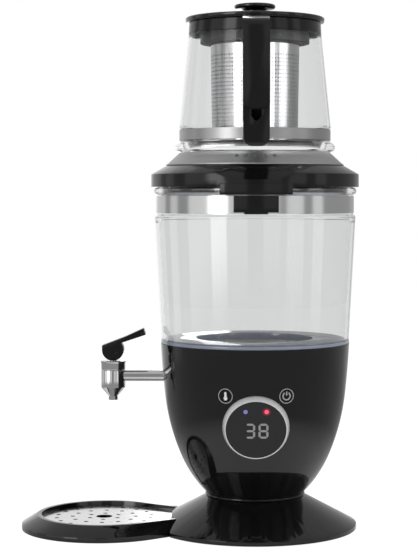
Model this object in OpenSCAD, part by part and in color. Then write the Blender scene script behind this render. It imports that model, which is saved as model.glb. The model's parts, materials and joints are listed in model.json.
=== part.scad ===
// Electric samovar: a heated bowl under a glass tank, a tap, a drip tray,
// and a glass teapot that stands on the tank lid.
// Millimetres. The origin is on the tank's axis, on the surface it stands on.
// +Z is up, the display faces -Y and the tap points to -X.

/* [Foot] */
// How far the foot spreads out beyond the neck
foot_spread = 48.6; // [45:0.2:52]
// Height of the foot's shell
foot_h = 29.7; // [27:0.1:34]
// Height of the foot's upright edge
foot_edge_h = 3.7; // [3:0.1:6]
// Wall of the foot
foot_wall = 2.5; // [2:0.1:3.5]
// How far the rubber ring stands out under the foot
pad_proud = 0.8; // [0.5:0.1:2]
// How far the middle of the rubber ring lies outside the neck
pad_out = 11.8; // [10:0.2:13.8]
// Width of the rubber ring
pad_w = 6; // [4:0.5:7]
// Thickness of the bottom cover
cover_t = 2.5; // [2:0.1:4]
// How far the drip tray's docking face lies inside the foot's edge
dock_in = 16.8; // [14:0.2:20]

/* [Bowl] */
// How far the neck draws in from the bowl's rim
neck_in = 42.3; // [40:0.1:44]
// Height of the trim ring at the neck
neck_ring_h = 3; // [2:0.1:4]
// Height of the bowl
bowl_h = 138; // [133:1:143]
// Radius of the bowl's rim
bowl_r = 87.5; // [86.5:0.1:88.5]
// Wall of the bowl
bowl_wall = 2.6; // [2:0.1:3.2]
// Gap between the bowl's rim and the inner steel cup
cup_gap = 17.5; // [15:0.5:21]
// Depth of the inner steel cup
cup_depth = 57; // [54:0.5:62]
// Sheet of the inner steel cup
cup_t = 0.8; // [0.6:0.1:1.2]
// Thickness of the seal under the glass
seal_h = 4.1; // [3.5:0.1:6]
// How far the seal reaches in over the steel cup
seal_reach = 16; // [12:0.5:20]

/* [Tank] */
// Height of the glass tank
tank_h = 140.6; // [130:0.2:150]
// How far the glass stands back from the bowl's rim
tank_inset = 0.6; // [0.3:0.1:1.2]
// How much wider the glass is at its shoulder than at its foot
tank_flare = 6.3; // [5:0.1:8]
// Depth of the steel band's groove under the shoulder
tank_groove = 2.4; // [2:0.1:3]
// How far the glass lip stands out from the groove
tank_lip = 3.4; // [3:0.1:4]
// Wall of the glass tank
tank_wall = 3.5; // [3:0.1:4]
// Height of the steel band
band_h = 15.8; // [13:0.2:18]
// Sheet of the steel band
band_t = 0.8; // [0.6:0.1:1]
// Width of the buckle
buckle_w = 39.6; // [34:0.2:46]
// Thickness of the buckle
buckle_t = 3.4; // [2.8:0.1:4]

/* [Tank lid] */
// How far the lid overhangs the glass lip
lid_over = 2.2; // [1.8:0.1:3]
// Height of the lid's upright wall
lid_wall_h = 11.7; // [10:0.1:14]
// Height of the lid's cone
lid_cone_h = 8.3; // [7:0.1:10]
// Wall of the lid
lid_t = 2.4; // [2:0.1:3]
// Depth of the lid's skirt inside the glass
lid_skirt_h = 12; // [9:0.5:14]
// Width of the front tab and finger recess
tab_w = 64; // [58:0.5:70]
// How far the front tab stands out from the lid
tab_over = 3.6; // [3:0.1:5]
// How far the lid's cone draws in to the steel dome
lid_cone_in = 14.6; // [13:0.2:17]
// How far the steel dome draws in to its flat top
dome_in = 12.2; // [10:0.2:14]
// Height of the steel dome
dome_h = 12; // [10:0.1:14]
// Sheet of the steel dome
dome_t = 1; // [0.8:0.1:1.4]
// Width of the dome's flat top, where the teapot rests
dome_rest_w = 13.6; // [12:0.2:18]

/* [Teapot] */
// Height of the teapot's glass
pot_h = 115.6; // [110:0.2:122]
// How far the teapot's foot stands out beyond the dome's flat top
pot_over = 4.6; // [3:0.1:6]
// How far the glass draws in from its foot to the steel band
pot_waist_in = 3.9; // [3.4:0.1:4.6]
// How far the glass draws in from the steel band to the collar
pot_taper = 8.6; // [7:0.1:10]
// Wall of the teapot's glass
pot_wall = 2.4; // [2:0.1:2.8]
// Height of the teapot's steel band
pot_band_h = 10; // [8:0.2:12]
// Height of the black collar
collar_h = 10.9; // [10:0.1:12]
// Width of the handle
handle_w = 23.6; // [20:0.2:27]
// Distance from the teapot's foot to the handle's front
handle_reach = 40.8; // [36:0.2:46]
// Thickness of the handle's grip
grip_t = 16; // [14:0.5:18]
// How far the teapot lid overhangs the collar
pot_lid_over = 3; // [2.4:0.1:4]
// Thickness of the teapot lid
pot_lid_t = 4.4; // [3.6:0.1:6]
// Radius of the lid's knob
knob_r = 19.2; // [16:0.2:24]
// Height of the lid's knob
knob_h = 12.8; // [11:0.1:16]

/* [Infuser] */
// Gap between the glass under the collar and the infuser's black ring
infuser_gap = 11; // [9:0.1:13]
// Width of the infuser's black ring
infuser_ring_w = 9.2; // [8:0.1:11]
// How much narrower the steel basket is at its floor
basket_taper = 1.7; // [1:0.1:3]
// Gap between the steel basket and the teapot's floor
basket_rise = 1.8; // [1.2:0.1:8]
// Sheet of the steel basket
basket_t = 0.6; // [0.5:0.1:0.9]

/* [Tap] */
// Distance from the bowl's rim to the tap's valve
tap_reach = 44.2; // [40:0.2:48]
// Height of the tap's pipe above the bowl's floor
tap_rise = 106.8; // [104:0.2:110]
// Radius of the tap's body
tap_r = 11.25; // [10.8:0.05:12]
// Outer radius of the tap's pipe
pipe_r = 5.2; // [4.8:0.1:5.6]
// Bore of the tap's pipe, as a radius
pipe_bore_r = 3.2; // [2.8:0.1:3.6]
// Radius of the valve stem
stem_r = 3; // [2.6:0.1:3.2]
// Lift of the valve stem over the lever's turn
stem_lift = 3; // [2:0.1:3.5]
// Radius of the lever's round head
lever_head_r = 10; // [9.6:0.1:11]
// Thickness of the lever across its pin
lever_w = 13; // [12:0.2:15]
// Length of the lever's arm from the head's centre
lever_arm = 33.6; // [30:0.2:42]
// Slope of the lever's arm at rest
lever_slope = 21; // [16:1:26]
// Radius of the lever's pin
pin_r = 1.5; // [1.3:0.1:1.8]

/* [Display and keys] */
// Height of the display's centre above the bowl's floor
display_rise = 68.2; // [66:0.1:70]
// How much further the display tips down than the bowl's side
display_tip = 2.8; // [2:0.1:4]
// Outer radius of the chrome bezel
bezel_r = 29.65; // [28:0.05:31]
// Width of the chrome bezel
bezel_w = 2.95; // [2.4:0.05:3.6]
// How far the window stands out from the bowl
bezel_h = 2.3; // [2.1:0.1:3]
// Height of the display's numerals
digit_h = 14.2; // [12:0.1:15]
// Height of the keys above the bowl's floor
key_rise = 97.3; // [96:0.1:101]
// Angle of the keys to either side of the front
key_turn = 18.6; // [18:0.1:20]
// Radius of a key
key_r = 6.65; // [6:0.05:6.8]
// Travel of a key
key_travel = 0.6; // [0.4:0.1:0.8]

/* [Drip tray] */
// Radius of the tray at its base
tray_r = 76; // [72:0.5:80]
// Width of the tray's sloping side
tray_slope_w = 14; // [12:0.5:16]
// Height of the drip tray
tray_h = 13; // [11:0.5:16]
// Gap between the docking face and the tray's round rim
tray_gap = 1; // [0.5:0.1:2]
// Floor of the drip tray
tray_floor = 2; // [1.5:0.1:3]
// Depth of the plate below the tray's rim
plate_drop = 3.5; // [2.5:0.1:4.5]
// Thickness of the perforated plate
plate_t = 1; // [0.8:0.1:1.4]
// Diameter of the small holes in the plate
plate_hole = 4.2; // [3:0.1:5]

/* [Fits] */
// Clearance between pieces that come apart
fit = 0.3; // [0.3:0.05:0.4]
// Radial clearance of shafts and pins in their holes
slip = 0.05; // [0.03:0.01:0.08]

/* [Hidden] */
$fn = 96;
smooth = 720;
front = 90;
// How far a cutting solid reaches past what it cuts
over = 1;

// Radii, each taken from the piece it meets
neck_r = bowl_r - neck_in;
foot_r = neck_r + foot_spread;
pad_r = neck_r + pad_out;
dock_x = foot_r - dock_in;
cup_r = bowl_r - cup_gap;
seal_hole_r = cup_r - seal_reach;
tank_foot_r = bowl_r - tank_inset;
tank_shoulder_r = tank_foot_r + tank_flare;
tank_neck_r = tank_shoulder_r - tank_groove;
tank_lip_r = tank_neck_r + tank_lip;
lid_r = tank_lip_r + lid_over;
tab_r = lid_r + tab_over;
dome_base_r = lid_r - lid_cone_in;
dome_top_r = dome_base_r - dome_in;
dome_hole_r = dome_top_r - dome_rest_w;
pot_foot_r = dome_top_r + pot_over;
pot_low_r = pot_foot_r - pot_waist_in;
pot_high_r = pot_low_r - pot_taper;
pot_lid_r = pot_high_r + pot_lid_over;
handle_out = pot_foot_r + handle_reach;
infuser_ring_r = pot_high_r - infuser_gap;
basket_top_r = infuser_ring_r - infuser_ring_w;
basket_low_r = basket_top_r - basket_taper;
tap_out = bowl_r + tap_reach;
window_r = bezel_r - bezel_w;
tray_rim_r = tray_r - tray_slope_w;
tray_out = dock_x + tray_rim_r + tray_gap;

// Heights, each built on the one below it
foot_z = pad_proud;
neck_z = foot_z + foot_h;
bowl_z = neck_z + neck_ring_h;
rim_z = bowl_z + bowl_h;
seal_z = rim_z;
seal_step = 1;
tank_z = seal_z + seal_h - seal_step;
tank_top = tank_z + tank_h;
lid_z = tank_top + fit;
cone_z = lid_z + lid_wall_h;
dome_z = cone_z + lid_cone_h;
dome_top = dome_z + dome_h;
pot_z = dome_top + fit;
pot_top = pot_z + pot_h;

// Slope of the foot's cone
foot_slope = atan((foot_h - foot_edge_h) / (foot_r - neck_r));

// The bowl's side is three arcs that run into each other, from the rim down
rim_tilt = 3;
upper_r = 796;
upper_end = 6.4;
middle_r = 196;
middle_end = 24.1;
function out_dir(a) = [cos(a), -sin(a)];
upper_c = [bowl_r, rim_z] - upper_r * out_dir(rim_tilt);
upper_p = upper_c + upper_r * out_dir(upper_end);
middle_c = upper_p - middle_r * out_dir(upper_end);
middle_p = middle_c + middle_r * out_dir(middle_end);
to_neck = middle_p - [neck_r, bowl_z];
lower_r = (to_neck * to_neck) / (2 * (to_neck * out_dir(middle_end)));
lower_c = middle_p - lower_r * out_dir(middle_end);
function arc_at(c, r, z) = c[0] + sqrt(r * r - (c[1] - z) * (c[1] - z));
function bowl_at(z) =
    z > upper_p[1] ? arc_at(upper_c, upper_r, z) :
    z > middle_p[1] ? arc_at(middle_c, middle_r, z) : arc_at(lower_c, lower_r, z);
function lean_at(z) =
    z > upper_p[1] ? asin((upper_c[1] - z) / upper_r) :
    z > middle_p[1] ? asin((middle_c[1] - z) / middle_r) : asin((lower_c[1] - z) / lower_r);

bowl_floor = 3;
ledge_w = 4.2;
cup_z = rim_z - cup_depth;
cup_play = 1;
cup_flange_r = bowl_r - bowl_wall - cup_play;

// Tank neck, band and lip
lip_h = 6.7;
lip_z = tank_top - lip_h;
band_drop = 1.2;
band_z = lip_z - band_drop - band_h;
shoulder_drop = 4;
shoulder_z = band_z - shoulder_drop;

// Teapot levels
waist_rise = 10.6;
waist_z = pot_z + waist_rise;
waist_in = 1.1;
waist_r = pot_low_r - waist_in;
waist_step = 1.6;
pot_body_z = waist_z + pot_band_h + waist_step;
collar_wall = 2.1;
pot_rim_r = pot_high_r - collar_wall;
collar_lap = 6.6;
collar_z = pot_top - collar_lap;
collar_top = collar_z + collar_h;
seat_rise = 2.2;
collar_seat = pot_top + seat_rise;
pot_lid_z = collar_top + fit;
pot_lid_top = pot_lid_z + pot_lid_t;
knob_top = pot_lid_top + knob_h;
pot_floor_rise = 0.8;
pot_floor_z = pot_z + pot_floor_rise;
pot_floor_t = 3.2;
collar_rim_w = 3.1;
collar_in = pot_high_r - collar_rim_w;
ring_flange_r = collar_in - fit;
basket_play = 0.5;
ring_in = basket_top_r + basket_play;
infuser_z = collar_seat + fit;
ring_h = 17.5;
ring_low = infuser_z - ring_h;
hook_rise = 4;
hook_z = ring_low + hook_rise;
basket_z = pot_floor_z + pot_floor_t + basket_rise;

// Tap levels
tap_x = -tap_out;
pipe_z = bowl_z + tap_rise;
seat_depth = 9.2;
seat_z = pipe_z - seat_depth;
bonnet_rise = 5.7;
bonnet_z = pipe_z + bonnet_rise;
bonnet_h = 8.3;
bonnet_top = bonnet_z + bonnet_h;
nozzle_depth = 22.3;
nozzle_z = pipe_z - nozzle_depth;
nozzle_r = 4.2;
nozzle_bore = 2.9;
tap_wall = 3.6;
chamber_r = tap_r - tap_wall;
head_z = bonnet_top + fit + lever_head_r;
pin_z = head_z - stem_lift;
stem_slot = 2 * stem_r + 2 * fit;

// Display and keys, each in a frame whose +Z leaves the bowl
display_z = bowl_z + display_rise;
display_r = bowl_at(display_z);
display_lean = lean_at(display_z) + display_tip;
key_z = bowl_z + key_rise;
key_rad = bowl_at(key_z);
key_lean = lean_at(key_z);
module at_display() {
    translate([0, -display_r, display_z]) rotate([90 + display_lean, 0, 0]) children();
}
module at_key(side) {
    rotate([0, 0, side * key_turn]) translate([0, -key_rad, key_z]) rotate([90 + key_lean, 0, 0])
        children();
}

// Handle levels
grip_back = handle_out - grip_t;
handle_drop = 6;
handle_top = collar_top - handle_drop;
seam_rise = 26.6;
seam_z = waist_z + seam_rise;
handle_rise = 2.3;
handle_low = pot_z + handle_rise;
tongue_t = 6.5;

// Points on an arc, from one angle to another
function arc(x, y, r, a, b, n = 6) = [for (i = [0:n])
    [x + r * cos(a + (b - a) * i / n), y + r * sin(a + (b - a) * i / n)]];

module turn(points) rotate_extrude($fn = 180) polygon(points);
module tube(r_out, r_in, z, h) turn([[r_in, z], [r_out, z], [r_out, z + h], [r_in, z + h]]);
module ring_of(count, r, start = 0) {
    for (i = [0:count - 1]) rotate([0, 0, start + i * 360 / count]) translate([r, 0, 0]) children();
}

// Round half-section of the bowl, drawn in by inset
module bowl_half(inset, z_from, z_to) {
    upper_z = upper_c[1] - (upper_r - inset) * sin(upper_end);
    middle_z = middle_c[1] - (middle_r - inset) * sin(middle_end);
    intersection() {
        translate(upper_c) circle(upper_r - inset, $fn = smooth);
        translate([0, upper_z]) square([2 * bowl_r, z_to - upper_z]);
    }
    intersection() {
        translate(middle_c) circle(middle_r - inset, $fn = smooth);
        translate([0, middle_z]) square([2 * bowl_r, upper_z - middle_z]);
    }
    intersection() {
        translate(lower_c) circle(lower_r - inset, $fn = smooth);
        translate([0, z_from]) square([2 * bowl_r, middle_z - z_from]);
    }
}
module bowl_solid(inset, z_from, z_to) rotate_extrude($fn = 180) bowl_half(inset, z_from, z_to);

// Foot
big = 400;
inlet_out = 20.8;
inlet_y = neck_r + inlet_out;
inlet_w = 28;
gland_r = 5.9;
gland_bore = 3.7;
gland_flange = 8;
gland_lip = 0.9;
gland_t = 2;
gland_rise = 9.9;
gland_z = foot_z + gland_rise;
screw_r = 1.5;
screw_head_r = 2.9;
screw_head_h = 1.6;
screw_bite = 6;
screw_tip = 0.5;
cover_screw_l = 9;
boss_r = 4;
boss_shift = 0.8;
boss_out = neck_r + boss_shift;
neck_screw_in = 12.5;
neck_screw_out = neck_r - neck_screw_in;
wire_hole_in = 24;
wire_hole_r = neck_r - wire_hole_in;
cover_in = 1;
pad_seat = 1.2;

module foot_solid(inset) {
    drop = inset / cos(foot_slope);
    edge = foot_r - inset;
    edge_z = foot_z + foot_edge_h + inset * tan(foot_slope) - drop;
    top_r = neck_r - (drop - inset) / tan(foot_slope);
    turn([[0, foot_z], [edge, foot_z], [edge, edge_z], [inset > 0 ? top_r : neck_r, neck_z - inset],
        [0, neck_z - inset]]);
}
module foot_room(inset) {
    difference() {
        translate([inset - dock_x, -big / 2, -over]) cube([big, big, big]);
        translate([-inlet_w / 2 - inset, inlet_y - inset, -2 * over])
            cube([inlet_w + 2 * inset, big, big]);
    }
}
module base_foot() {
    color("#1b1b1c") difference() {
        union() {
            difference() {
                intersection() {
                    foot_solid(0);
                    foot_room(0);
                }
                intersection() {
                    foot_solid(foot_wall);
                    foot_room(foot_wall);
                }
            }
            intersection() {
                foot_solid(0);
                ring_of(4, boss_out, 45) translate([0, 0, foot_z + cover_t])
                    cylinder(h = foot_h, r = boss_r);
            }
        }
        ring_of(4, boss_out, 45)
            cylinder(h = foot_z + screw_head_h + cover_screw_l + over, r = screw_r + slip);
        translate([0, 0, neck_z - foot_wall - over]) cylinder(h = foot_wall + 2 * over, r = wire_hole_r);
        ring_of(3, neck_screw_out, front) translate([0, 0, neck_z - foot_wall - over])
            cylinder(h = foot_wall + 2 * over, r = screw_r + slip);
        translate([0, inlet_y - foot_wall - over, gland_z]) rotate([-90, 0, 0])
            cylinder(h = foot_wall + 2 * over, r = gland_r + slip);
    }
}

module base_cover() {
    color("#262627") difference() {
        intersection() {
            translate([0, 0, foot_z]) cylinder(h = cover_t, r = foot_r - foot_wall - cover_in, $fn = 180);
            foot_room(foot_wall + fit);
        }
        tube(pad_r + pad_w / 2, pad_r - pad_w / 2, foot_z - over, over + pad_seat);
        ring_of(4, boss_out, 45) cylinder(h = big, r = screw_r + slip);
        ring_of(4, boss_out, 45) translate([0, 0, foot_z - over])
            cylinder(h = over + screw_head_h, r = screw_head_r + slip);
    }
}

module foot_pad() color("#2e2e2f") tube(pad_r + pad_w / 2, pad_r - pad_w / 2, 0, foot_z + pad_seat);

module screw(length) {
    cylinder(h = screw_head_h, r = screw_head_r);
    cylinder(h = screw_head_h + length, r = screw_r);
}
module cover_screws() color("#8c8c8e") ring_of(4, boss_out, 45) translate([0, 0, foot_z])
    screw(cover_screw_l);

module cord_gland() {
    color("#202021") translate([0, inlet_y, gland_z]) rotate([-90, 0, 0]) difference() {
        union() {
            translate([0, 0, -foot_wall - gland_t]) cylinder(h = foot_wall + 2 * gland_t, r = gland_r);
            cylinder(h = gland_t, r = gland_flange);
            translate([0, 0, -foot_wall - gland_t]) cylinder(h = gland_t, r = gland_r + gland_lip);
        }
        translate([0, 0, -foot_wall - gland_t - over])
            cylinder(h = foot_wall + 2 * gland_t + 2 * over, r = gland_bore);
    }
}

neck_lap = 9.5;
neck_back = 0.5;
module neck_ring() {
    edge = neck_ring_h / 2;
    color("#4a4a4c") turn(concat([[neck_r - neck_lap, neck_z], [neck_r - neck_back, neck_z]],
        arc(neck_r - neck_back, neck_z + edge, edge, -90, 90),
        [[neck_r - neck_lap, neck_z + neck_ring_h]]));
}

// Heating bowl
post_h = 22;
post_in = 6;
post_turn = 30;
post_x = (neck_r - post_in) * cos(post_turn);
post_y = (neck_r - post_in) * sin(post_turn);
board_z = bowl_z + bowl_floor + post_h;
board_t = 1.6;
window_lap = 2.2;
bezel_shell = 1.35;
boss_in = window_r - window_lap;
boss_wall = bezel_r - bezel_shell - boss_in;
seat_drop = 1;
board_drop = 7.6;
key_wall = 1.2;
key_room = 0.4;
key_lap = 1.25;
key_flange_r = key_r + key_lap;
key_room_r = key_flange_r + key_room;
key_tube_r = key_room_r + key_wall;
key_seat = 2;
key_tube_h = 9;
ledge_t = 3;
ledge_h = 8;
ledge_r = cup_flange_r - ledge_w;

module lower_housing() {
    color("#19191a") difference() {
        union() {
            difference() {
                bowl_solid(0, bowl_z, rim_z);
                bowl_solid(bowl_wall, bowl_z + bowl_floor, rim_z + over);
            }
            turn([[ledge_r, rim_z - cup_t - ledge_t],
                [bowl_at(rim_z - cup_t - ledge_h) - over, rim_z - cup_t - ledge_h],
                [bowl_at(rim_z - cup_t) - over, rim_z - cup_t], [ledge_r, rim_z - cup_t]]);
            intersection() {
                bowl_solid(-seat_drop, bowl_z, rim_z);
                at_display() translate([0, 0, -board_drop])
                    cylinder(h = board_drop - seat_drop, r = boss_in + boss_wall);
            }
            for (side = [-1, 1]) {
                intersection() {
                    bowl_solid(bowl_wall / 2, bowl_z, rim_z);
                    at_key(side) translate([0, 0, -key_tube_h]) cylinder(h = key_tube_h, r = key_tube_r);
                }
            }
            for (x = [-1, 1], y = [-1, 1]) {
                translate([x * post_x, y * post_y, bowl_z + over])
                    cylinder(h = bowl_floor + post_h - over, r = boss_r);
            }
        }
        translate([0, 0, bowl_z - over]) cylinder(h = bowl_floor + 2 * over, r = wire_hole_r);
        ring_of(3, neck_screw_out, front) translate([0, 0, bowl_z - over])
            cylinder(h = bowl_floor + 2 * over, r = screw_r + slip);
        for (x = [-1, 1], y = [-1, 1]) {
            translate([x * post_x, y * post_y, board_z - screw_bite - over])
                cylinder(h = screw_bite + 2 * over, r = screw_r + slip);
        }
        at_display() translate([0, 0, -board_drop - over])
            cylinder(h = board_drop + bezel_h, r = boss_in);
        for (side = [-1, 1]) at_key(side) {
            translate([0, 0, -key_tube_h - over])
                cylinder(h = key_tube_h + over - key_seat, r = key_room_r);
            translate([0, 0, -key_tube_h]) cylinder(h = 2 * key_tube_h, r = key_r + fit);
        }
        translate([0, 0, pipe_z]) rotate([0, -90, 0]) cylinder(h = tap_out, r = pipe_r + fit);
    }
}

module neck_screws() {
    color("#8c8c8e") ring_of(3, neck_screw_out, front) translate([0, 0, neck_z - foot_wall - screw_head_h])
        screw(foot_wall + neck_ring_h + bowl_floor - screw_tip);
}

cup_corner = 2.2;
module boiler_cup() {
    inner = cup_r - cup_t;
    color("#b9b9bb") difference() {
        turn(concat([[0, cup_z]], arc(cup_r - cup_corner, cup_z + cup_corner, cup_corner, -90, 0),
            [[cup_r, rim_z - cup_t], [cup_flange_r, rim_z - cup_t], [cup_flange_r, rim_z], [inner, rim_z]],
            arc(cup_r - cup_corner, cup_z + cup_corner, cup_corner - cup_t, 0, -90), [[0, cup_z + cup_t]]));
        translate([0, 0, pipe_z]) rotate([0, -90, 0]) cylinder(h = tap_out, r = pipe_r + slip);
    }
}

heater_in = 25;
heater_r = cup_r - heater_in;
heater_tube = 3.3;
heater_pin = 2.7;
plate_under = 4;
heater_edge = 7.8;
groove_gap = 0.2;
heater_open = 20;
module heater_plate() {
    color("#c9c9cb") difference() {
        translate([0, 0, cup_z - plate_under]) cylinder(h = plate_under,
            r = cup_r - cup_corner - heater_edge);
        tube(heater_r + heater_tube + groove_gap, heater_r - heater_tube - groove_gap,
            cup_z - plate_under - over, over + heater_tube + groove_gap);
    }
}
module heater_ring() {
    color("#5c5a58") translate([0, 0, cup_z - plate_under]) {
        rotate([0, 0, heater_open / 2]) rotate_extrude(angle = 360 - heater_open) translate([heater_r, 0])
            circle(heater_tube);
        for (side = [-1, 1]) rotate([0, 0, side * heater_open / 2]) translate([heater_r, 0, -lead_drop])
            cylinder(h = lead_drop, r = heater_pin);
    }
}
lead_drop = 10;
lead_r = 1.3;
block_h = 9;
module element_leads() {
    top = cup_z - plate_under - lead_drop;
    low = board_z + board_t + block_h;
    color("#b23a2c") for (side = [-1, 1]) rotate([0, 0, side * heater_open / 2])
        translate([heater_r, 0, low]) cylinder(h = top - low, r = lead_r);
}
sensor_r = 3.5;
sensor_h = 8;
module temp_sensor() color("#a9aaac") translate([0, 0, cup_z - plate_under - sensor_h])
    cylinder(h = sensor_h, r = sensor_r);

cutout_r = 8;
cutout_h = 7;
cutout_out = 24;
leg_out = 4;
leg_w = 3;
leg_t = 0.8;
leg_h = 5;
module thermal_cutout() {
    color("#d8d2c4") translate([0, cutout_out, cup_z - plate_under - cutout_h]) {
        cylinder(h = cutout_h, r = cutout_r);
        for (side = [-1, 1]) translate([side * leg_out - leg_w / 2, -leg_t / 2, -leg_h])
            cube([leg_w, leg_t, leg_h + over]);
    }
}

board_edge = 5;
board_y = 2 * (post_y + board_edge);
part_gap = 2;
part_x = post_x - screw_head_r - part_gap;
part_y = board_y / 2 - part_gap;
relay_y = 26;
relay_h = 16;
supply_y = 14;
supply_h = 12;
can_r = 5;
can_h = 14;
lead_land = 1.2;
block_in = 9;
block_edge = 1.5;
module power_board() {
    left = post_x + board_edge;
    right = heater_r + board_edge;
    land_r = lead_r + lead_land;
    block_y = heater_r * sin(heater_open / 2) + land_r + block_edge;
    color("#1f6b3a") difference() {
        translate([-left, -board_y / 2, board_z]) cube([left + right, board_y, board_t]);
        for (x = [-1, 1], y = [-1, 1]) translate([x * post_x, y * post_y, board_z - over])
            cylinder(h = board_t + 2 * over, r = screw_r + slip);
    }
    color("#1f6b3a") translate([0, 0, board_z + board_t]) {
        translate([-part_x, -relay_y / 2, 0]) cube([part_x - part_gap, relay_y, relay_h]);
        translate([part_gap, -part_y, 0]) cube([part_x - part_gap, supply_y, supply_h]);
        translate([part_x / 2, part_y / 2, 0]) cylinder(h = can_h, r = can_r);
        translate([heater_r - block_in, -block_y, 0])
            cube([block_in + board_edge, 2 * block_y, block_h - part_gap]);
        for (side = [-1, 1]) rotate([0, 0, side * heater_open / 2]) translate([heater_r, 0, 0])
            cylinder(h = block_h, r = land_r);
    }
}
module board_screws() {
    color("#8c8c8e") for (x = [-1, 1], y = [-1, 1]) {
        translate([x * post_x, y * post_y, board_z + board_t + screw_head_h]) rotate([180, 0, 0])
            screw(board_t + screw_bite);
    }
}

seal_lip = 3;
seal_lip_h = 2;
seal_back = 0.2;
module seal_ring() {
    step_r = tank_foot_r - tank_wall - fit;
    color("#7f8796") turn([[seal_hole_r, seal_z - seal_lip_h],
        [seal_hole_r + seal_lip, seal_z - seal_lip_h],
        [seal_hole_r + seal_lip, seal_z], [bowl_r - seal_back, seal_z], [bowl_r - seal_back, tank_z],
        [step_r, tank_z], [step_r, seal_z + seal_h], [seal_hole_r, seal_z + seal_h]]);
}

// Display and keys
window_t = 2;
bezel_root = 9;
bezel_flat = 2.4;
bezel_land = 0.9;
module display_bezel() {
    shelf = bezel_h - window_t;
    lip = window_r + fit / 2;
    seat = boss_in + boss_wall + 2 * slip;
    color("#c4c4c6") difference() {
        at_display() rotate_extrude() polygon([[boss_in, -seat_drop], [seat, -seat_drop],
            [seat, -bezel_root], [bezel_r, -bezel_root], [bezel_r, -bezel_flat],
            [lip + bezel_land, bezel_h], [lip, bezel_h], [lip, shelf], [boss_in, shelf]]);
        bowl_solid(-slip, bowl_z, rim_z);
    }
}
led_r = 1.9;
led_x = 9.25;
led_y = 17.2;
led_proud = 0.25;
module display_window() {
    color("#0e0e10") at_display() translate([0, 0, bezel_h - window_t]) difference() {
        cylinder(h = window_t, r = window_r);
        for (side = [-1, 1]) translate([side * led_x, led_y, -over])
            cylinder(h = window_t + 2 * over, r = led_r + slip, $fn = 32);
    }
}
module led(side) {
    at_display() translate([side * led_x, led_y, -board_drop]) {
        cylinder(h = board_drop + bezel_h + led_proud, r = led_r, $fn = 32);
    }
}
module warm_led() color("#4b63d8") led(-1);
module heat_led() color("#e0314e") led(1);

// One bar of a numeral, with pointed ends
bar_w = 1.9;
bar_gap = 0.25;
digit_drop = 1;
digit_shift = 0.7;
digit_pitch = 11.7;
digit_wide = 1.12;
digit_proud = 0.12;
module bar(length) {
    half = length / 2 - bar_gap;
    polygon([[-half, 0], [-half + bar_w / 2, bar_w / 2], [half - bar_w / 2, bar_w / 2], [half, 0],
        [half - bar_w / 2, -bar_w / 2], [-half + bar_w / 2, -bar_w / 2]]);
}
// Bars in the order top, upper left, upper right, middle, lower left, lower right, bottom
shown = [[1, 0, 1, 1, 0, 1, 1], [1, 1, 1, 1, 1, 1, 1]];
module numeral(on) {
    up = digit_h / 2 - bar_w / 2;
    wide = digit_wide * up;
    if (on[0]) translate([0, up]) bar(wide);
    if (on[1]) translate([-wide / 2, up / 2]) rotate(90) bar(up);
    if (on[2]) translate([wide / 2, up / 2]) rotate(90) bar(up);
    if (on[3]) bar(wide);
    if (on[4]) translate([-wide / 2, -up / 2]) rotate(90) bar(up);
    if (on[5]) translate([wide / 2, -up / 2]) rotate(90) bar(up);
    if (on[6]) translate([0, -up]) bar(wide);
}
module display_digits() {
    color("#cfd3d8") at_display() translate([digit_shift, -digit_drop, bezel_h]) {
        for (i = [0, 1]) translate([(i - 0.5) * digit_pitch, 0, 0]) linear_extrude(digit_proud)
            numeral(shown[i]);
    }
}
module_rim = 2.5;
module digit_module() {
    w = 2 * (digit_pitch + module_rim);
    h = digit_h + 2 * module_rim;
    color("#2b2b2d") at_display() translate([digit_shift - w / 2, -digit_drop - h / 2, -board_drop])
        cube([w, h, board_drop + bezel_h - window_t - fit]);
}
board_lap = 1.5;
module display_board() color("#1f6b3a") at_display() translate([0, 0, -board_drop - board_t])
    cylinder(h = board_t, r = boss_in + board_lap);

plunger_r = 2.2;
key_proud = 0.15;
key_cap_t = 1.1;
key_rest = 0.1;
switch_play = 0.15;
switch_gap = key_travel + switch_play;
switch_h = 3.4;
switch_w = 6;
switch_step = 1;
switch_r = 1.7;
plunger_end = key_tube_h - switch_h - switch_gap;
module key(side) {
    at_key(side) {
        translate([0, 0, -key_seat - key_rest - key_cap_t]) cylinder(h = key_cap_t, r = key_flange_r);
        translate([0, 0, -key_seat - 2 * key_rest])
            cylinder(h = key_seat + 2 * key_rest + key_proud, r = key_r);
        translate([0, 0, -plunger_end])
            cylinder(h = plunger_end - key_seat - key_cap_t / 2, r = plunger_r);
    }
}
module warm_key() color("#161617") key(-1);
module power_key() color("#161617") key(1);
module key_switches() {
    color("#3a3a3c") for (side = [-1, 1]) at_key(side) translate([0, 0, -key_tube_h]) {
        translate([-switch_w / 2, -switch_w / 2, 0]) cube([switch_w, switch_w, switch_h - switch_step]);
        cylinder(h = switch_h, r = switch_r, $fn = 32);
    }
}
module key_boards() {
    color("#1f6b3a") for (side = [-1, 1]) at_key(side) translate([0, 0, -key_tube_h - board_t])
        cylinder(h = board_t, r = key_tube_r);
}

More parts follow.
